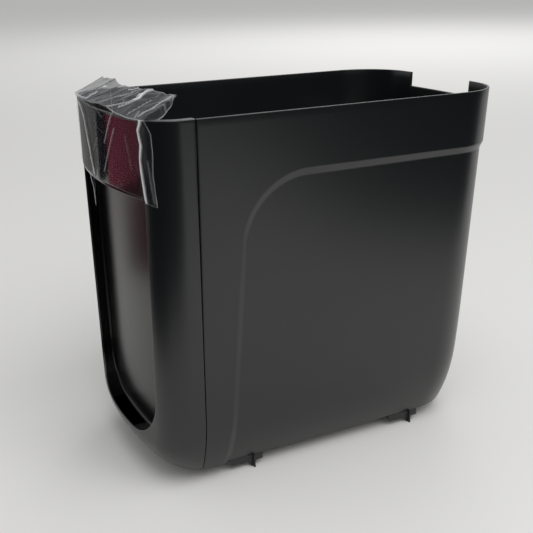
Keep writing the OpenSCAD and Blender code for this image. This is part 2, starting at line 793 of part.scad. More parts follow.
// Open-topped box behind the chamber, with air slots in its rear wall
module filter_holder() {
    color("#35383a") difference() {
        box([-filter_half - 2, filter_half + 2], [liner_y[1], filter_y[1] + 2], [filter_z[0] - 2, 344]);
        box([-filter_half, filter_half], filter_y, [filter_z[0], 350]);
        for (z = [256:10:330]) box([-44, 44], [filter_y[1] - 2, filter_y[1] + 6], [z, z + 5]);
    }
}

module charcoal_filter() {
    color("#1f2022")
        box([0.5 - filter_half, filter_half - 0.5], [filter_y[0] + 0.5, filter_y[1] - 0.5], filter_z);
}

inlet_y = 206;
plate_lip = 2.8;
socket_x = [-59, -35];
socket_z = [73, 93];
case_x = [-22, 0];
case_z = [68, 98];
pin_x = 8.6;              // distance between the two pins

// Flat plate in the rear wall that carries the mains inlet and the power switch
module inlet_plate() {
    color("#202224") difference() {
        box(inlet_x, [inlet_y - 20, inlet_y], [inlet_z[0] + 0.3, inlet_z[1] - 0.3]);
        box([inlet_x[0] + plate_lip, inlet_x[1] - plate_lip], [inlet_y - 21, inlet_y - 2.5],
            [inlet_z[0] + plate_lip, inlet_z[1] - plate_lip]);
        box(socket_x, [inlet_y - 10, inlet_y + 1], socket_z);
        box(case_x, [inlet_y - 10, inlet_y + 1], case_z);
    }
}

// Two-pin inlet with a well for the connector
module mains_inlet() {
    well_r = 4.6;
    color("#141516") translate([(socket_x[0] + socket_x[1]) / 2, 0, (socket_z[0] + socket_z[1]) / 2]) {
        difference() {
            box([-12, 12], [inlet_y - 19, inlet_y], [-10, 10]);
            for (x = [-4, 4]) bar_y(x, 0, well_r, inlet_y - 15, inlet_y + 1);
            box([-4, 4], [inlet_y - 15, inlet_y + 1], [-well_r, 2]);
        }
        for (x = [-pin_x / 2, pin_x / 2]) bar_y(x, 0, 1.2, inlet_y - 15, inlet_y - 4);
    }
}

rocker_x = (case_x[0] + case_x[1]) / 2;
rocker_z = (case_z[0] + case_z[1]) / 2;
rocker_y = inlet_y - 3;
rocker_half = 8.6;
rocker_tilt = -8;         // rests with its lower end out, switched off

module switch_case() {
    color("#141516") difference() {
        union() {
            box(case_x, [inlet_y - 19, inlet_y], case_z);
            box([case_x[0] - 2, case_x[1] + 2], [inlet_y, inlet_y + 1.5], [case_z[0] - 2, case_z[1] + 2]);
        }
        box([case_x[0] + 2, case_x[1] - 2], [inlet_y - 14, inlet_y + 3], [case_z[0] + 2.5, case_z[1] - 2.5]);
        translate([rocker_x - 10, rocker_y, rocker_z]) rotate([0, 90, 0])
            cylinder(r = hinge_r + fit, h = 20, $fn = arc_steps);
    }
}

module switch_rocker() {
    color("#1a1b1c") {
        translate([rocker_x - rocker_half, rocker_y, rocker_z]) rotate([rocker_tilt, 0, 0])
            rotate([90, 0, 90]) linear_extrude(2 * rocker_half) polygon([
                [-5, -8], [2.5, -11.4], [5.2, -11], [3.6, 0], [5.2, 11], [2.5, 11.4], [-5, 8]]);
        translate([rocker_x - 9.8, rocker_y, rocker_z]) rotate([0, 90, 0])
            cylinder(r = hinge_r, h = 19.6, $fn = arc_steps);
    }
}

// ---- Lid interlock ----
lever_z = deck_z + 9;

module lever_bracket() {
    color("#5a5d60") difference() {
        for (y = [lever_y - 7.5, lever_y + 4.5])
            box([lever_x - 5, lever_x + 5], [y, y + 3], [deck_top, lever_z + 4]);
        bar_y(lever_x, lever_z, hinge_r + fit, lever_y - 20, lever_y + 20);
    }
}

// Lever that the lid's tongue presses; its tail reaches down to the switch under the deck
module lid_lever() {
    color("#c7c9cb") {
        bar_y(lever_x, lever_z, hinge_r, lever_y - 7.5, lever_y + 7.5);
        bar_y(lever_x, lever_z, 3.2, lever_y - 4, lever_y + 4);
        box([lever_x - 1.2, lever_x + 1.2], [lever_y - 3.5, lever_y + 3.5], [lever_z, lever_z + 26]);
        box([lever_x - 1.2, lever_x + 1.2], [lever_y - 3.5, lever_y + 3.5], [lever_z - 16, lever_z]);
    }
}

module lid_switch() {
    color("#1b1c1e") {
        box([lever_x - 13, lever_x - 6], [lever_y - 10, lever_y + 10], [deck_z - 16, deck_z]);
    }
}

main_shell();
front_frame();
recess_panel();
control_fascia();
protective_film();
foot_tab_front_left();
foot_tab_front_right();
foot_tab_rear_left();
foot_tab_rear_right();
base_plate();
base_screws();
chamber_liner();
deck_frame();
bag_frame();
hinge_pins();
front_bulkhead();
rear_bulkhead();
bearing_plate();
plate_spacers();
guide_rail_left();
guide_rail_right();
front_bushes();
rear_bushes();
lead_screw_left();
lead_screw_right();
screw_gear_left();
screw_gear_right();
idler_gear_left();
idler_gear_right();
idler_pins();
drive_gear();
drive_shaft();
gearbox();
motor();
gearbox_screws();
press_plate();
plate_stiffeners();
ram_arm_left();
ram_arm_right();
carriage_left();
carriage_right();
screw_nuts();
arm_screws();
floor_seals();
position_sensors();
control_board();
touch_springs();
board_cover();
power_board();
board_posts();
filter_holder();
charcoal_filter();
inlet_plate();
mains_inlet();
switch_case();
switch_rocker();
lid_lever();
lever_bracket();
lid_switch();
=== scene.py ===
"""Looks of the trash compactor: detailed skins, film, materials, light and camera around the CAD frame.

Shapes are worked out in millimetres above the housing's lower edge, and placed in metres.
"""

import json
import math

import bpy
import numpy as np
from mathutils import Matrix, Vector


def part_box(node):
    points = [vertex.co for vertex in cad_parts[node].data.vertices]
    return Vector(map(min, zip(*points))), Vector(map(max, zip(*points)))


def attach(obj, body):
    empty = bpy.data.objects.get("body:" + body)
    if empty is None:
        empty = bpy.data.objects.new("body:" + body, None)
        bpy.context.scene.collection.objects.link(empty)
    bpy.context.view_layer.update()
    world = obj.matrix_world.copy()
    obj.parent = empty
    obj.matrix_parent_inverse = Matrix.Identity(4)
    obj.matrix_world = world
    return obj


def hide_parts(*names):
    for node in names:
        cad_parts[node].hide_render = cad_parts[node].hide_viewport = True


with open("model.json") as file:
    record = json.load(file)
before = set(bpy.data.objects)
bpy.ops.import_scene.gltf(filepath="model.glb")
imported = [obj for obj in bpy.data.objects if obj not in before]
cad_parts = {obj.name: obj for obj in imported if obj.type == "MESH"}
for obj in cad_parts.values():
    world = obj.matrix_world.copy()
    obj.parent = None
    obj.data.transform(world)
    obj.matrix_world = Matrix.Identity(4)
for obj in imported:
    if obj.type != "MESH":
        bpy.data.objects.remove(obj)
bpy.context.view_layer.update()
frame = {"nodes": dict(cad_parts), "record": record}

MM = 0.001

# ---- Driving dimensions of the housing, in millimetres ----
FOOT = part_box("main_shell")[0].z / MM
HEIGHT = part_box("main_shell")[1].z / MM - FOOT
WIDTH = 2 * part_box("main_shell")[1].x / MM
DEPTH = 447.0
WALL = 2.8
# How far each wall leans in from the rim to the lower edge
SIDE_LEAN, FRONT_LEAN, REAR_LEAN = 10.6, 4.1, 21.6
# The curl under at the lower edge: depth, height it starts at, power of the curve
SIDE_TUCK, FRONT_TUCK, REAR_TUCK = (16.2, 74, 2.2), (26.3, 40, 2.15), (6, 135, 2)
FRONT_BOW, FRONT_CORNER = 433.0, 35.3
REAR_BOW, REAR_CORNER = 1003.0, 65.5
SEAM_Y = -162.7
SEAM_GAP = 0.7
EDGE_ROUND = 0.8
NOTCH_HALF, NOTCH_DEPTH = 57.8, 17.6
OPENING_HALF, OPENING_LOW, OPENING_RADIUS = 107.3, 37.0, 60.0
FASCIA_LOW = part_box("control_fascia")[0].z / MM - FOOT
FASCIA_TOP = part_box("control_fascia")[1].z / MM - FOOT
OPENING_HALF_LOW, OPENING_LOW_AT = 99.2, 100   # half width of the opening at this height
OPENING_SLOPE = (OPENING_HALF - OPENING_HALF_LOW) / (FASCIA_LOW - OPENING_LOW_AT)
RECESS_DEPTH, RECESS_BOW, RECESS_WALL, RECESS_FILLET = 24.0, 900.0, 1.5, 3.0
RECESS_GAP, RECESS_START = 0.15, 1.2   # clearance inside the opening, start behind the front skin
FASCIA_HALF, FASCIA_WALL, FASCIA_SET = 106.9, 3.0, 0.2
FIELD_DEPTH, FIELD_RAMP, FIELD_CORNER = 3.0, 8.5, 72.0
FIELD_TOP, FIELD_FRONT, FIELD_LEAN = HEIGHT - 60, -118.0, 0.073
FIELD_PIVOT = 260   # height at which the field's front edge is at FIELD_FRONT
RIM_LIP, LIP_FROM, LIP_BLEND = 7.5, 121, 5   # widening of the front rim beside the film
LIP_DROP, LIP_RISE = 1.2, 0.3   # how far below the rim the lip starts, and over what height
SIDE_SPLIT = 40   # where even spacing along the side begins


# ---- Outline of the housing at height h ----
def tuck(h, depth, band, power):
    """How far a wall curls in below the height band."""
    return depth * np.clip((band - h) / band, 0, None) ** power


def half_width(h):
    return WIDTH / 2 - SIDE_LEAN * (1 - h / HEIGHT) - tuck(h, *SIDE_TUCK)


def front_at(h):
    return -DEPTH / 2 + FRONT_LEAN * (1 - h / HEIGHT) + tuck(h, *FRONT_TUCK)


def rear_at(h):
    return DEPTH / 2 - REAR_LEAN * (1 - h / HEIGHT) - tuck(h, *REAR_TUCK)


def meet_angle(w, bow, r):
    """Angle on a bowed face at which its corner of radius r begins."""
    return np.arcsin((w - r) / (bow - r))


def front_corner_y(h):
    a = meet_angle(half_width(h), FRONT_BOW, FRONT_CORNER)
    return front_at(h) + FRONT_BOW - (FRONT_BOW - FRONT_CORNER) * np.cos(a)


def rear_corner_y(h):
    a = meet_angle(half_width(h), REAR_BOW, REAR_CORNER)
    return rear_at(h) - REAR_BOW + (REAR_BOW - REAR_CORNER) * np.cos(a)


def front_point(s, h):
    """Point and outward normal on the front skin at arc length s from the middle, at height h."""
    a, w, r = np.abs(s), half_width(h), FRONT_CORNER
    meet = meet_angle(w, FRONT_BOW, r)
    bow_length = FRONT_BOW * meet
    quarter = r * (np.pi / 2 - meet)
    on_bow, on_corner = a <= bow_length, a <= bow_length + quarter
    angle = np.where(on_bow, a / FRONT_BOW, np.minimum(meet + (a - bow_length) / r, np.pi / 2))
    straight = np.where(on_corner, 0, a - bow_length - quarter)
    x = np.where(on_bow, FRONT_BOW * np.sin(angle), w - r + r * np.sin(angle))
    y = np.where(
        on_bow,
        front_at(h) + FRONT_BOW * (1 - np.cos(angle)),
        front_corner_y(h) - r * np.cos(angle) + straight,
    )
    side = np.where(s < 0, -1.0, 1.0)
    return x * side, y, np.sin(angle) * side, -np.cos(angle)


def front_length(x, h):
    """Arc length from the middle to the point of the front skin at x."""
    w, r, a = half_width(h), FRONT_CORNER, np.abs(x)
    meet = meet_angle(w, FRONT_BOW, r)
    on_bow = a <= FRONT_BOW * np.sin(meet)
    turned = np.arcsin(np.clip((a - w + r) / r, -1, 1))
    return np.sign(x) * np.where(
        on_bow, FRONT_BOW * np.arcsin(a / FRONT_BOW), FRONT_BOW * meet + r * (turned - meet)
    )


def seam_length(h):
    """Arc length from the middle of the front to the seam."""
    cy, r, end = front_corner_y(h), FRONT_CORNER, SEAM_Y - SEAM_GAP / 2
    meet = meet_angle(half_width(h), FRONT_BOW, r)
    turned = np.where(cy > end, np.arccos(np.clip((cy - end) / r, -1, 1)), np.pi / 2)
    return FRONT_BOW * meet + r * (turned - meet) + np.maximum(end - cy, 0)


def ramp(t):
    """A straight ramp from 0 to 1 with a small round at both ends."""
    t, k = np.clip(t, 0, 1), 0.16   # k is the share of the ramp that each round takes
    low, high = t * t / (2 * k * (1 - k)), 1 - (1 - t) ** 2 / (2 * k * (1 - k))
    return np.where(t < k, low, np.where(t > 1 - k, high, (t - k / 2) / (1 - k)))


def sunk(y, h):
    """How deep the sunken field lies at y, h."""
    a, r = FIELD_TOP - h, FIELD_CORNER
    b = y - FIELD_FRONT + (FIELD_PIVOT - h) * FIELD_LEAN
    in_corner = (a < r) & (b < r)
    d = np.where(in_corner, r - np.hypot(r - a, r - b), np.minimum(a, b))
    return FIELD_DEPTH * ramp(d / FIELD_RAMP)


def rounding(distance):
    """Inset of a rounded edge at a distance from that edge."""
    r = EDGE_ROUND
    left = r - np.clip(distance, 0, r)
    return r - np.sqrt(r * r - left * left)


# ---- Meshes ----
def make_object(name, points, faces, smooth_angle=35):
    """A mesh fixed to the housing, with edges sharper than smooth_angle shown as edges."""
    mesh = bpy.data.meshes.new(name)
    mesh.from_pydata(points.tolist(), [], faces.tolist())
    mesh.update()
    mesh.shade_smooth()
    mesh.set_sharp_from_angle(angle=math.radians(smooth_angle))
    obj = bpy.data.objects.new(name, mesh)
    bpy.context.scene.collection.objects.link(obj)
    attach(obj, "housing")
    return obj


def placed(x, y, h):
    """Points in metres from millimetres above the lower edge."""
    return np.stack(np.broadcast_arrays(x, y, h + FOOT), -1) * MM


def grid_quads(rows, cols, keep):
    """Corner numbers of the kept cells of a grid."""
    ids = np.arange(rows * cols).reshape(rows, cols)
    corners = [ids[:-1, :-1], ids[:-1, 1:], ids[1:, 1:], ids[1:, :-1]]
    return [c[keep] for c in corners]


def sheet_object(name, outer, inner, keep=None, flip=False):
    """A closed sheet between two grids of points; keep says which cells are there."""
    rows, cols = outer.shape[:2]
    n = rows * cols
    keep = np.ones((rows - 1, cols - 1), bool) if keep is None else keep
    a, b, c, d = grid_quads(rows, cols, keep)
    quads = [np.stack([a, b, c, d], -1), np.stack([a + n, d + n, c + n, b + n], -1)]
    near = np.pad(keep, 1)
    sides = [
        (near[:-2, 1:-1], a, b),
        (near[1:-1, 2:], b, c),
        (near[2:, 1:-1], c, d),
        (near[1:-1, :-2], d, a),
    ]
    for neighbour, p, q in sides:
        bare = ~neighbour[keep]
        quads.append(np.stack([q, p, p + n, q + n], -1)[bare])
    faces = np.concatenate(quads)
    if flip:
        faces = faces[:, ::-1]
    points = np.concatenate([outer.reshape(-1, 3), inner.reshape(-1, 3)])
    used, faces = np.unique(faces, return_inverse=True)
    return make_object(name, points[used], faces.reshape(-1, 4))


def offset_sheet(name, x, y, h, nx, ny, edge, wall=WALL, keep=None):
    """A wall behind a skin, with rounded edges; edge is the distance to the nearest edge."""
    inset = rounding(edge)
    outer = placed(x - nx * inset, y - ny * inset, h)
    deep = wall - inset
    return sheet_object(name, outer, placed(x - nx * deep, y - ny * deep, h), keep=keep)


def steps(*spans):
    """Values through the spans (start, end, spacing), each end given once."""
    values = [spans[0][0]]
    for start, end, spacing in spans:
        count = max(1, round(abs(end - start) / spacing))
        values += [start + (end - start) * i / count for i in range(1, count + 1)]
    return np.array(values)


EDGE_STEPS = np.array([0, 0.12, 0.4, EDGE_ROUND])


def main_shell():
    notch_low = HEIGHT - NOTCH_DEPTH
    h = np.unique(
        np.concatenate(
            [
                EDGE_STEPS,
                steps((2, 24, 2.5), (24, 245, 5.5), (245, 317, 1.25), (317, 333, 0.8)),
                steps((333, notch_low - 2, 5)),
                notch_low - EDGE_STEPS,
                [notch_low + 3, notch_low + 9],
                HEIGHT - EDGE_STEPS,
            ]
        )
    )[:, None]
    w = half_width(h)
    seam = SEAM_Y + SEAM_GAP / 2
    fixed = steps((seam + 3, -142, 6), (-142, -38, 1.1), (-38, SIDE_SPLIT, 7))
    fixed = np.concatenate([seam + EDGE_STEPS, fixed])[None]
    rear_side = SIDE_SPLIT + (rear_corner_y(h) - SIDE_SPLIT) * steps((0, 1, 1 / 12))[1:]
    side_y = np.concatenate([np.broadcast_to(fixed, (len(h), fixed.shape[1])), rear_side], 1)
    before = np.maximum(front_corner_y(h) - side_y, 0)
    reach = np.sqrt(FRONT_CORNER**2 - before**2)
    side = [w - FRONT_CORNER + reach, side_y, reach / FRONT_CORNER, -before / FRONT_CORNER]
    turn = np.pi / 2 - meet_angle(w, REAR_BOW, REAR_CORNER)
    a = turn * steps((0, 1, 1 / 18))[1:]
    corner = [
        w - REAR_CORNER + REAR_CORNER * np.cos(a),
        rear_corner_y(h) + REAR_CORNER * np.sin(a),
        np.cos(a),
        np.sin(a),
    ]
    meet_x = REAR_BOW * np.sin(meet_angle(w, REAR_BOW, REAR_CORNER))
    rim_x = meet_x[-1, 0]
    beside = steps((rim_x, NOTCH_HALF + 1.6, 2))[1:]
    flat = np.concatenate([beside, NOTCH_HALF + EDGE_STEPS[::-1], steps((57, 0, 6))])
    x = flat / rim_x * meet_x
    up = np.sqrt(REAR_BOW**2 - x**2)
    rear = [x, rear_at(h) - REAR_BOW + up, x / REAR_BOW, up / REAR_BOW]
    x, y, nx, ny = [np.concatenate(part, 1) for part in zip(side, corner, rear)]
    mirror = [-1, 1, -1, 1]
    x, y, nx, ny = [np.concatenate([q, k * q[:, -2::-1]], 1) for q, k in zip((x, y, nx, ny), mirror)]
    h = np.broadcast_to(h, x.shape)
    dip = sunk(y, h)
    notch_x = np.where(y > 0, np.abs(x) * rim_x / np.concatenate([meet_x] * x.shape[1], 1), 999)
    to_notch = np.hypot(np.maximum(notch_x - NOTCH_HALF, 0), np.maximum(notch_low - h, 0))
    edge = np.minimum.reduce([HEIGHT - h, h, y - seam, to_notch])
    middle = (notch_x[:-1, :-1] + notch_x[:-1, 1:]) / 2 < NOTCH_HALF
    gone = middle & (h[:-1, :-1] > notch_low - 0.01)
    return offset_sheet("housing_shell", x - nx * dip, y - ny * dip, h, nx, ny, edge, keep=~gone)


def opening_outline(inset, levels):
    """Right half of the front opening, from the top down to the middle of its lower edge."""
    lean, r = math.atan(OPENING_SLOPE), OPENING_RADIUS - inset
    cz = OPENING_LOW + OPENING_RADIUS
    cx = OPENING_HALF - OPENING_SLOPE * (FASCIA_LOW - cz) - OPENING_RADIUS / math.cos(lean)
    at = np.maximum(levels, cz)
    leaning = OPENING_HALF - OPENING_SLOPE * (FASCIA_LOW - at)
    sides = np.minimum(OPENING_HALF, leaning) - inset / math.cos(lean)
    a = np.linspace(-lean, -math.pi / 2, 25)[1:]
    flat = np.linspace(cx, 0, 8)[1:]
    x = np.concatenate([sides, cx + r * np.cos(a), flat])
    h = np.concatenate([at, cz + r * np.sin(a), np.full(7, cz - r)])
    return x, h


def mirrored(x, h):
    """Both halves of an outline from its right half."""
    return np.concatenate([x, -x[-2::-1]]), np.concatenate([h, h[-2::-1]])


def front_frame():
    cz = OPENING_LOW + OPENING_RADIUS
    levels = np.concatenate([HEIGHT - EDGE_STEPS, steps((HEIGHT - 4, cz, 8))])
    x0, h0 = opening_outline(0, levels)
    n = len(levels)
    s0 = front_length(x0, h0)
    h1 = np.concatenate([levels, np.linspace(cz, 0, 13)[1:], np.zeros(19)])
    low_end = seam_length(np.zeros(1))[0]
    bottom = np.concatenate([np.linspace(low_end, x0[n + 23], 13)[1:], x0[n + 24 :]])
    s1 = np.concatenate([seam_length(h1[: n + 12]), bottom])
    length = np.hypot(s1 - s0, h1 - h0)[None]
    near = EDGE_STEPS[:, None] / length
    between = np.linspace(0, 1, 22)[1:-1, None] * np.ones_like(length)
    between = np.clip(between, near[-1:] + 0.001, 1 - near[-1:] - 0.001)
    v = np.concatenate([near, between, 1 - near[::-1]])
    s, h = s0 + (s1 - s0) * v, h0 + (h1 - h0) * v
    s, h, v = [np.concatenate([q, k * q[:, -2::-1]], 1) for q, k in zip((s, h, v), (-1, 1, 1))]
    to_opening = v * np.concatenate([length, length[:, -2::-1]], 1)
    x, y, nx, ny = front_point(s, h)
    edge = np.minimum.reduce([HEIGHT - h, h, seam_length(h) - np.abs(s), to_opening])
    lip = RIM_LIP * np.clip((h - HEIGHT + LIP_DROP) / LIP_RISE, 0, 1)
    lip = lip * np.clip((np.abs(s) - LIP_FROM) / LIP_BLEND, 0, 1)
    return offset_sheet("front_frame_skin", x, y, h, nx, ny, edge, wall=WALL + lip)


def recess():
    """Sunken front panel: walls that run back from the opening, a small fillet, and a bowed back."""
    cz, fillet = OPENING_LOW + OPENING_RADIUS, RECESS_FILLET
    levels = steps((FASCIA_LOW, cz, 8))

    def back_at(x):
        return -DEPTH / 2 + RECESS_DEPTH + RECESS_BOW - np.sqrt(RECESS_BOW**2 - x**2)

    rows = []
    for t in np.linspace(0, 1, 7):
        x, h = mirrored(*opening_outline(RECESS_GAP, levels))
        _, y, _, _ = front_point(front_length(x, h), h)
        rows.append((x, (y + RECESS_START) * (1 - t) + (back_at(x) - fillet) * t, h))
    for a in np.linspace(0, math.pi / 2, 7)[1:]:
        x, h = mirrored(*opening_outline(RECESS_GAP + fillet * (1 - math.cos(a)), levels))
        rows.append((x, back_at(x) - fillet * (1 - math.sin(a)), h))
    x, h = rows[-1][0], rows[-1][2]
    for t in np.linspace(0, 1, 16)[1:]:
        rows.append((x * (1 - t), back_at(x * (1 - t)), h + (np.maximum(h, cz) - h) * t))
    x, y, h = [np.stack(part) for part in zip(*rows)]
    front = placed(x, y, h)
    behind = front + np.array([0, RECESS_WALL * MM, 0])
    return sheet_object("recess_skin", front, behind, flip=True)


def fascia():
    """Glossy panel above the recess, bowed like the front."""
    end = FASCIA_HALF - 0.3
    x = np.concatenate([[-FASCIA_HALF], steps((-end, end, 6)), [FASCIA_HALF]])[None]
    rows = steps((FASCIA_LOW + 3, FASCIA_TOP - 3, 8))
    h = np.concatenate([[FASCIA_LOW], FASCIA_LOW + EDGE_STEPS[1:], rows])
    h = np.concatenate([h, FASCIA_TOP - EDGE_STEPS[::-1]])[:, None]
    y = -DEPTH / 2 + FASCIA_SET + FRONT_BOW - np.sqrt(FRONT_BOW**2 - x**2)
    edge = np.minimum.reduce(np.broadcast_arrays(FASCIA_HALF - np.abs(x), h - FASCIA_LOW, FASCIA_TOP - h))
    x, y, h = np.broadcast_arrays(x, y, h)
    return offset_sheet("fascia_panel", x, y, h, x / FRONT_BOW, -np.ones_like(x), edge, wall=FASCIA_WALL)


shell = main_shell()
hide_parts("main_shell")
front = front_frame()
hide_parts("front_frame")
back_panel = recess()
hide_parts("recess_panel")
control = fascia()
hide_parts("control_fascia")


# ---- Clear film over the fascia, folded back over the rim as a crumpled flap ----
def through(value, knots):
    """Straight lines through knots (value, result)."""
    return np.interp(value, *zip(*knots))


def close_to(distance, width):
    """1 at an edge, falling to 0 at a distance of width from it."""
    return np.clip(1 - distance / width, 0, 1)


def crease(u, v, path, width):
    """1 along a path of straight pieces, falling to 0 at a distance of width from it."""
    best = np.zeros(np.broadcast(u, v).shape)
    for (u0, v0), (u1, v1) in zip(path, path[1:]):
        du, dv = u1 - u0, v1 - v0
        t = np.clip(((u - u0) * du + (v - v0) * dv) / (du * du + dv * dv), 0, 1)
        best = np.maximum(best, 1 - np.hypot(u - u0 - t * du, v - v0 - t * dv) / width)
    return best


def crumple(u, v, rng, count, lengths, spread, heights, widths):
    """Relief of many random straight folds that run mostly along v."""
    relief = np.zeros(np.broadcast(u, v).shape)
    for _ in range(count):
        u0, v0 = rng.uniform(u.min(), u.max()), rng.uniform(v.min(), v.max())
        length, lean = rng.uniform(*lengths), rng.normal(0, spread)
        end = (u0 + length * math.sin(lean), v0 + length * math.cos(lean))
        width = rng.uniform(*widths)
        relief += rng.choice((-1, 1)) * rng.uniform(*heights) * crease(u, v, [(u0, v0), end], width)
    return relief


FILM_LEFT, FILM_RIGHT, FILM_SPACING = -117, 124, 1.2
FRONT_ROWS, FLAP_ROWS, LEAF_COLUMNS = 72, 45, 8
FILM_STANDOFF = 1.0   # from the front skin to the film
CLEAR_HAZE, FLAP_HAZE, LEAF_HAZE = 0.07, 0.74, 0.35
# Over arc length: rise of the bend above the rim, height of the lower edge, depth of the flap
FILM_BEND = [(-117, 0.5), (-92, 2.5), (0, 4.5), (30, 7), (50, 6.5), (66, 3), (90, 0.5), (118, 0.5)]
FILM_LOW = [
    *[(-117, 316), (-31, 316), (-24, 307), (-14, 282), (-12.5, 281), (-11, 315)],
    *[(0, 317), (110, 314), (112, 310), (124, 307)],
]
FLAP_REACH = [
    *[(-117, 34), (-92, 37), (-67, 46), (-30, 42), (9, 45)],
    *[(26, 46.5), (36, 43), (47, 47.5), (76, 46), (118, 45)],
]
LEAF_REACH = 45.0
# Over height: how far the right edge wanders sideways
EDGE_WANDER = [(307, 1), (339, -1), (360, 0.5), (378, 0), (391, -7)]
# Creases, raised and with a painted highlight along each: path over the front in arc length and height,
# width, strength of the highlight
FRONT_CREASES = [
    ([(114, 391), (108, 380), (111, 366), (108, 352), (111, 325), (112, 309)], 3.0, 1.0),
    ([(-66, 390), (-50, 385), (-37, 377), (-28, 361), (-14, 332), (-8, 318)], 3.0, 0.95),
    ([(60, 391), (47, 375), (35, 358)], 1.8, 0.6),
    ([(62, 376), (28, 328)], 1.6, 0.55),
    ([(-2, 345), (14, 360)], 1.6, 0.35),
    ([(14, 392), (34, 384)], 1.3, 0.4),
    ([(84, 372), (92, 340)], 2.4, 0.22),
    ([(118, 352), (122, 312)], 2.0, 0.3),
    ([(-31, 316), (-17, 301), (-13, 281)], 2.2, 0.75),
]
# The same on the flap, over x and the distance behind the bend
FLAP_CREASES = [
    ([(50, 0), (59, 17), (54, 46)], 1.3, 0.6),
    ([(60, 24), (53, 46)], 1.3, 1.0),
    ([(56, 26), (49, 46)], 0.9, 0.9),
    ([(62, 7), (63, 24)], 1.2, 0.55),
    ([(-92, 1), (-60, 2), (-24, 4), (-40, 19)], 1.5, 0.6),
    ([(-46, 27), (-43, 30)], 2.6, 1.0),
    ([(104, 4), (89, 43)], 1.3, 0.45),
    ([(86, 3), (80, 30)], 1.1, 0.3),
    ([(30, 2), (39, 30), (34, 44)], 1.1, 0.4),
    ([(22, 36), (28, 44)], 2.2, 0.75),
    ([(-17, 6), (-16, 36)], 1.0, 0.16),
    ([(-52, 2), (-62, 44)], 1.0, 0.16),
]


def painted_highlight_streaks(u, v, rng, count, lengths, spread, strengths):
    """Painted highlight along many fine random creases, mostly along v: how bright it shows at each point."""
    painted_highlight = np.zeros(np.broadcast(u, v).shape)
    for _ in range(count):
        u0, v0 = rng.uniform(u.min(), u.max()), rng.uniform(v.min(), v.max())
        length, lean = rng.uniform(*lengths), rng.normal(0, spread)
        end = (u0 + length * math.sin(lean), v0 + length * math.cos(lean))
        painted_highlight = np.maximum(painted_highlight, rng.uniform(*strengths) * crease(u, v, [(u0, v0), end], 1.1))
    return painted_highlight


def add_creases(u, v, creases, rise, relief, painted_highlight):
    """Raise relief along each crease and paint a highlight along it into the last array, in place."""
    for path, width, strength in creases:
        ridge = crease(u, v, path, width)
        np.maximum(painted_highlight, strength * ridge, out=painted_highlight)
        relief += rise * ridge


def film_front(rng, s):
    """Film down the fascia: points, painted highlight, how hazy, and the arc length of its top row."""
    bend = HEIGHT + through(s, FILM_BEND)
    low = through(s, FILM_LOW)
    h = low + (bend - low) * np.linspace(0, 1, FRONT_ROWS)[:, None]
    s = s + through(h, EDGE_WANDER) * np.clip((s - 100) / 24, 0, 1)
    x, y, nx, ny = front_point(s, np.minimum(h, HEIGHT))
    relief = crumple(s, h, rng, 46, (15, 60), 0.45, (0.15, 0.5), (2.5, 8))
    painted_highlight = np.zeros(h.shape)
    add_creases(s, h, FRONT_CREASES, 1.2, relief, painted_highlight)
    painted_highlight = np.maximum(painted_highlight, painted_highlight_streaks(s, h, rng, 26, (6, 26), 0.5, (0.08, 0.3)))
    out = FILM_STANDOFF + np.clip(relief, -0.4, 3) + 1.4 * close_to(bend - h, 6) ** 2
    # Painted highlights along the film's right edge and lower edge, and along the bend over the rim,
    # strongest on the right
    painted_highlight = np.maximum(painted_highlight, 0.55 * close_to(s.max(1, keepdims=True) - s, 1.5))
    painted_highlight = np.maximum(painted_highlight, 0.3 * close_to(h - low, 1.6))
    painted_highlight = np.maximum(painted_highlight, 0.6 * close_to(bend - h, 1.8) * through(s, [(30, 0.2), (60, 1)]))
    grid = np.stack([x + nx * out, y + ny * out, h], -1)
    # Haze rises with the painted highlight, so the highlight shows on the clear film
    return grid, painted_highlight, CLEAR_HAZE + 0.9 * painted_highlight, s[-1:]


def film_flap(rng, reach, leaf, top, top_s):
    """Flap behind the rim from the front's top row; leaf runs from 0 to 1 over the loose end at the right."""
    back = np.linspace(0, 1, FLAP_ROWS + 1)[1:, None] * reach
    x0, y0, z0 = top.T
    x = x0 - 0.66 * back * np.clip(x0 / 118, 0, 1) ** 1.5
    relief = crumple(x, back, rng, 64, (14, 46), 0.4, (0.4, 1.2), (3, 8))
    painted_highlight = np.zeros(back.shape)
    add_creases(x, back, FLAP_CREASES, 1.8, relief, painted_highlight)
    painted_highlight = np.maximum(painted_highlight, painted_highlight_streaks(x, back, rng, 34, (8, 30), 0.4, (0.08, 0.34)))
    near = np.clip(back / 6, 0, 1)
    slope = (HEIGHT + 0.4 * reach + through(x0, [(-117, 3), (-60, 0)]) - z0) / reach
    hang = 10 * np.sin(np.pi * np.clip(back / 48, 0, 1) ** 0.8) * leaf
    y = y0 + back - 0.37 * relief * near
    z = z0 + slope * back + 0.9 * relief * near - 0.85 * hang
    in_leaf = leaf > 0
    edge = np.minimum(reach - back, np.where(in_leaf, 99, FILM_RIGHT - top_s))
    # Painted highlights along the flap's edges and at the end of the loose leaf; haze rises with them so they
    # show
    painted_highlight = np.maximum(painted_highlight, 0.3 * close_to(edge, 1.2))
    painted_highlight = np.maximum(painted_highlight, 0.6 * np.clip((leaf - 0.85) / 0.1, 0, 1))
    haze = np.clip(FLAP_HAZE + 0.02 * relief + 0.4 * painted_highlight, 0, 0.97)
    haze = np.where(in_leaf, LEAF_HAZE + 0.6 * painted_highlight, haze)
    return np.stack([x + 0.55 * hang, y, z], -1), painted_highlight, haze


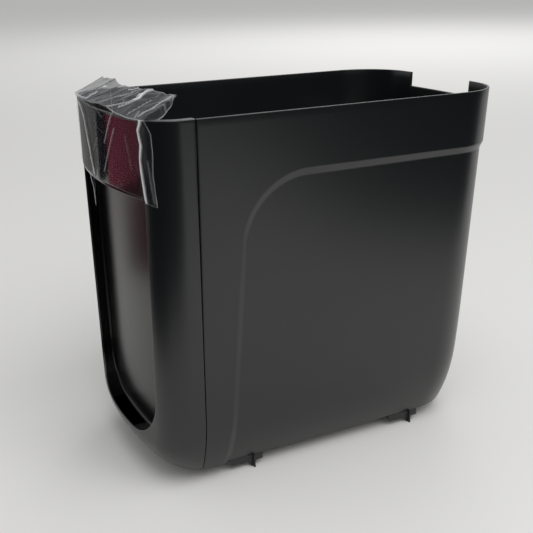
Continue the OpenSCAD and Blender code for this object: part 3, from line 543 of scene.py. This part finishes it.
def film():
    """The whole film as one open sheet, with its painted highlight and how hazy it is stored at its points.
    """
    rng = np.random.default_rng(11)
    columns = steps((FILM_LEFT, FILM_RIGHT, FILM_SPACING))
    loose = np.linspace(0, 1, LEAF_COLUMNS + 1)[1:]
    s = np.concatenate([columns, np.full(LEAF_COLUMNS, columns[-1])])[None]
    leaf = np.concatenate([np.zeros(len(columns)), loose])[None]
    reach = np.concatenate([through(columns, FLAP_REACH), np.full(LEAF_COLUMNS, LEAF_REACH)])[None]
    front_grid, front_white, front_haze, top_s = film_front(rng, s)
    flap_grid, flap_white, flap_haze = film_flap(rng, reach, leaf, front_grid[-1], top_s)
    points = np.concatenate([front_grid, flap_grid]) + np.array([0, 0, FOOT])
    painted_highlight = np.concatenate([front_white, flap_white])
    haze = np.concatenate([front_haze, flap_haze])
    rows, cols = haze.shape
    keep = np.ones((rows - 1, cols - 1), bool)
    keep[: FRONT_ROWS - 1, len(columns) - 1 :] = False
    faces = np.stack(grid_quads(rows, cols, keep), -1)
    used, faces = np.unique(faces, return_inverse=True)
    points = points.reshape(-1, 3)[used] * MM
    obj = make_object("crumpled_film", points, faces.reshape(-1, 4), smooth_angle=22)
    for name, values in (("painted_highlight", painted_highlight), ("haze", haze)):
        layer = obj.data.attributes.new(name, "FLOAT", "POINT")
        layer.data.foreach_set("value", values.reshape(-1)[used].astype(np.float32))
    return obj


wrap = film()
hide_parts("protective_film")


# ---- Materials ----
def material(name, color, roughness, metallic=0.0, grain=0.0, grain_scale=900.0, vary=0.0, **sockets):
    """A procedural material; grain is a fine texture's depth in mm, vary how much roughness changes."""
    m = bpy.data.materials.new(name)
    m.use_nodes = True
    nodes, links = m.node_tree.nodes, m.node_tree.links
    shader = nodes["Principled BSDF"]
    shader.inputs["Base Color"].default_value = (*color[:3], 1)
    shader.inputs["Roughness"].default_value = roughness
    shader.inputs["Metallic"].default_value = metallic
    for key, value in sockets.items():
        shader.inputs[key.replace("_", " ")].default_value = value
    where = nodes.new("ShaderNodeTexCoord")
    if grain:
        noise = nodes.new("ShaderNodeTexNoise")
        noise.inputs["Scale"].default_value = grain_scale
        noise.inputs["Detail"].default_value = 3
        bump = nodes.new("ShaderNodeBump")
        bump.inputs["Strength"].default_value = 1.0
        bump.inputs["Distance"].default_value = grain * MM
        links.new(where.outputs["Object"], noise.inputs["Vector"])
        links.new(noise.outputs["Fac"], bump.inputs["Height"])
        links.new(bump.outputs["Normal"], shader.inputs["Normal"])
    if vary:
        cloud = nodes.new("ShaderNodeTexNoise")
        cloud.inputs["Scale"].default_value = 14
        cloud.inputs["Detail"].default_value = 4
        spread = nodes.new("ShaderNodeMapRange")
        spread.inputs["To Min"].default_value = roughness - vary
        spread.inputs["To Max"].default_value = roughness + vary
        links.new(where.outputs["Object"], cloud.inputs["Vector"])
        links.new(cloud.outputs["Fac"], spread.inputs["Value"])
        links.new(spread.outputs["Result"], shader.inputs["Roughness"])
    return m


# FILM_CLEAR is the film's own tint; the second colour is the painted highlight on creases and edges
FILM_CLEAR, PAINTED_HIGHLIGHT_COLOR = (0.062, 0.066, 0.069, 1), (0.86, 0.88, 0.88, 1)


def film_material():
    """Clear film, cloudy where the haze attribute is high, with a painted highlight: its base colour turns
    pale where the highlight attribute says so, along creases and edges.
    """
    m = material("clear_film", FILM_CLEAR, 0.2, Specular_IOR_Level=0.22)
    nodes, links = m.node_tree.nodes, m.node_tree.links
    shader = nodes["Principled BSDF"]
    painted_highlight, haze = nodes.new("ShaderNodeAttribute"), nodes.new("ShaderNodeAttribute")
    painted_highlight.attribute_name, haze.attribute_name = "painted_highlight", "haze"
    blend = nodes.new("ShaderNodeMix")
    blend.data_type = "RGBA"
    blend.inputs["A"].default_value = FILM_CLEAR
    blend.inputs["B"].default_value = PAINTED_HIGHLIGHT_COLOR
    links.new(painted_highlight.outputs["Fac"], blend.inputs["Factor"])
    links.new(blend.outputs["Result"], shader.inputs["Base Color"])
    links.new(haze.outputs["Fac"], shader.inputs["Alpha"])
    return m


ROUGHNESS = {
    "matte_plastic": 0.5,
    "gloss_plastic": 0.2,
    "brushed_steel": 0.3,
    "chrome": 0.22,
    "brass": 0.28,
    "aluminium": 0.42,
    "painted_metal": 0.4,
    "rubber": 0.75,
    "fabric": 0.95,
}
METALS = {"brushed_steel", "chrome", "brass", "aluminium"}

looks = {
    "shell_plastic": material(
        "shell_plastic", (0.0042, 0.0052, 0.0058), 0.30, grain=0.008, vary=0.015, IOR=1.62
    ),
    "panel_plastic": material(
        "panel_plastic", (0.005, 0.005, 0.005), 0.24, grain=0.004, vary=0.015, IOR=1.37
    ),
    "fascia_gloss": material("fascia_gloss", (0.006, 0.006, 0.007), 0.09),
    "clear_film": film_material(),
}
for row in frame["record"]["materials"]:
    if row["slot"] not in looks:
        kind = row["class"]
        looks[row["slot"]] = material(
            row["slot"],
            row["base_color"],
            ROUGHNESS[kind],
            metallic=1.0 if kind in METALS else 0.0,
            grain=0.01,
            vary=0.04,
        )
slot_of = {row["node"]: row["material_slot"] for row in frame["record"]["subparts"]}
for name, node in frame["nodes"].items():
    node.data.materials.clear()
    node.data.materials.append(looks[slot_of[name]])
for piece, slot_name in (
    (shell, "shell_plastic"),
    (front, "shell_plastic"),
    (back_panel, "panel_plastic"),
    (control, "fascia_gloss"),
    (wrap, "clear_film"),
):
    piece.data.materials.append(looks[slot_name])


# ---- Stage, light and camera ----
def plane(name, corners, mat, glossy_only=False):
    mesh = bpy.data.meshes.new(name)
    mesh.from_pydata(corners, [], [range(len(corners))])
    mesh.materials.append(mat)
    obj = bpy.data.objects.new(name, mesh)
    bpy.context.scene.collection.objects.link(obj)
    if glossy_only:
        obj.visible_camera = obj.visible_diffuse = obj.visible_shadow = obj.visible_transmission = False
    return obj


def card_material(name, color):
    """An even glow, for cards that show only in reflections."""
    m = bpy.data.materials.new(name)
    m.use_nodes = True
    m.node_tree.nodes.clear()
    glow = m.node_tree.nodes.new("ShaderNodeEmission")
    glow.inputs["Color"].default_value = (*color, 1)
    end = m.node_tree.nodes.new("ShaderNodeOutputMaterial")
    m.node_tree.links.new(glow.outputs[0], end.inputs["Surface"])
    return m


def rectangle(x0, x1, y0, y1, z):
    return [(x0, y0, z), (x1, y0, z), (x1, y1, z), (x0, y1, z)]


floor_look = material("floor_vinyl", (0.80, 0.79, 0.765), 0.6, Specular_IOR_Level=0.0)
plane("floor", rectangle(-30, 30, -30, 30, 0), floor_look)
dark = card_material("dark_card", (0.004, 0.006, 0.009))
maroon = card_material("maroon_card", (0.09, 0.012, 0.02))
red = card_material("red_card", (0.50, 0.085, 0.15))
grey = card_material("grey_card", (0.2, 0.2, 0.195))


def outline(height, *corners):
    return [(x, y, height) for x, y in corners]


def upright(x0, y0, x1, y1, height):
    return [(x0, y0, 0), (x1, y1, 0), (x1, y1, height), (x0, y0, height)]


# What the glossy faces reflect: dark room beyond the pale floor, and red and grey things in front of it
CARD_LEVEL = 0.002   # the lowest cards' height above the floor; others lie just above them
CARDS = [
    (
        "card_floor_right",
        dark,
        outline(CARD_LEVEL, (0.8, 0.42), (2.4, 0.70), (9, 2.2), (9, 9), (0.3, 9), (0.3, 0.95)),
    ),
    ("card_wall_right", dark, upright(6, 1.3, 1.2, 8, 5)),
    (
        "card_floor_front",
        dark,
        outline(CARD_LEVEL, (-0.15, -0.6), (0.42, -0.50), (0.95, 0.06), (9, 1.5), (9, -9), (-2.4, -9)),
    ),
    ("card_wall_front", dark, upright(-1.6, -6, 7.5, 1.25, 5)),
    (
        "card_near_maroon",
        maroon,
        outline(2 * CARD_LEVEL, (-0.62, -0.42), (-1.2, -0.62), (-0.95, -1.4), (-0.15, -0.78)),
    ),
    (
        "card_far_red",
        red,
        outline(2 * CARD_LEVEL, (-1.19, -0.80), (-3.4, -2.05), (-2.6, -3.2), (-0.9, -1.4)),
    ),
    (
        "card_far_grey",
        grey,
        outline(1.5 * CARD_LEVEL, (-1.5, -0.66), (-1.5, 1.6), (-9, 7), (-9, -3.4)),
    ),
    (
        "card_far_dark",
        dark,
        outline(1.5 * CARD_LEVEL, (-1.3, -0.62), (-9, -3.4), (-9, -5.0), (-1.35, -0.98)),
    ),
]
for card_name, card_look, card_corners in CARDS:
    plane(card_name, card_corners, card_look, glossy_only=True)


def area_light(name, place, target, size, power):
    lamp = bpy.data.lights.new(name, "AREA")
    lamp.shape = "RECTANGLE"
    lamp.size, lamp.size_y = size
    lamp.energy = power
    obj = bpy.data.objects.new(name, lamp)
    bpy.context.scene.collection.objects.link(obj)
    away = np.array(place) - np.array(target)
    obj.matrix_world = looking(place, away)
    return obj


def looking(place, back, roll=0.0):
    """Matrix at a place whose -Z axis points away from back, level but for the roll."""
    back = np.array(back, float) / np.linalg.norm(back)
    right = np.cross((0, 0, 1), back)
    if np.linalg.norm(right) < 1e-6:
        right = np.array((1.0, 0, 0))
    right /= np.linalg.norm(right)
    up = np.cross(back, right)
    c, s = math.cos(roll), math.sin(roll)
    axes = np.stack([c * right + s * up, -s * right + c * up, back], 1)
    m = np.eye(4)
    m[:3, :3], m[:3, 3] = axes, place
    return Matrix(m.tolist())


area_light("key", (1.5, 0.2, 2.2), (0.2, 0, 0.1), (2.2, 2.2), 36)
area_light("back", (-4.2, 3.4, 3.2), (-4.2, 3.0, 0), (3, 3), 70)

world = bpy.data.worlds.new("studio")
world.use_nodes = True
world.node_tree.nodes["Background"].inputs["Color"].default_value = (0.97, 0.98, 1.0, 1)
world.node_tree.nodes["Background"].inputs["Strength"].default_value = 0.58
bpy.context.scene.world = world

camera_data = bpy.data.cameras.new("camera")
camera_data.lens, camera_data.sensor_width = 58.78, 36
camera = bpy.data.objects.new("camera", camera_data)
bpy.context.scene.collection.objects.link(camera)
azimuth, pitch, roll = math.radians(63.52), math.radians(18.95), math.radians(-1.16)
toward = (math.sin(azimuth) * math.cos(pitch), -math.cos(azimuth) * math.cos(pitch), math.sin(pitch))
camera.matrix_world = looking((0.8868, -0.4677, 0.5374), toward, roll)
bpy.context.scene.camera = camera
bpy.context.scene.view_settings.view_transform = "Standard"
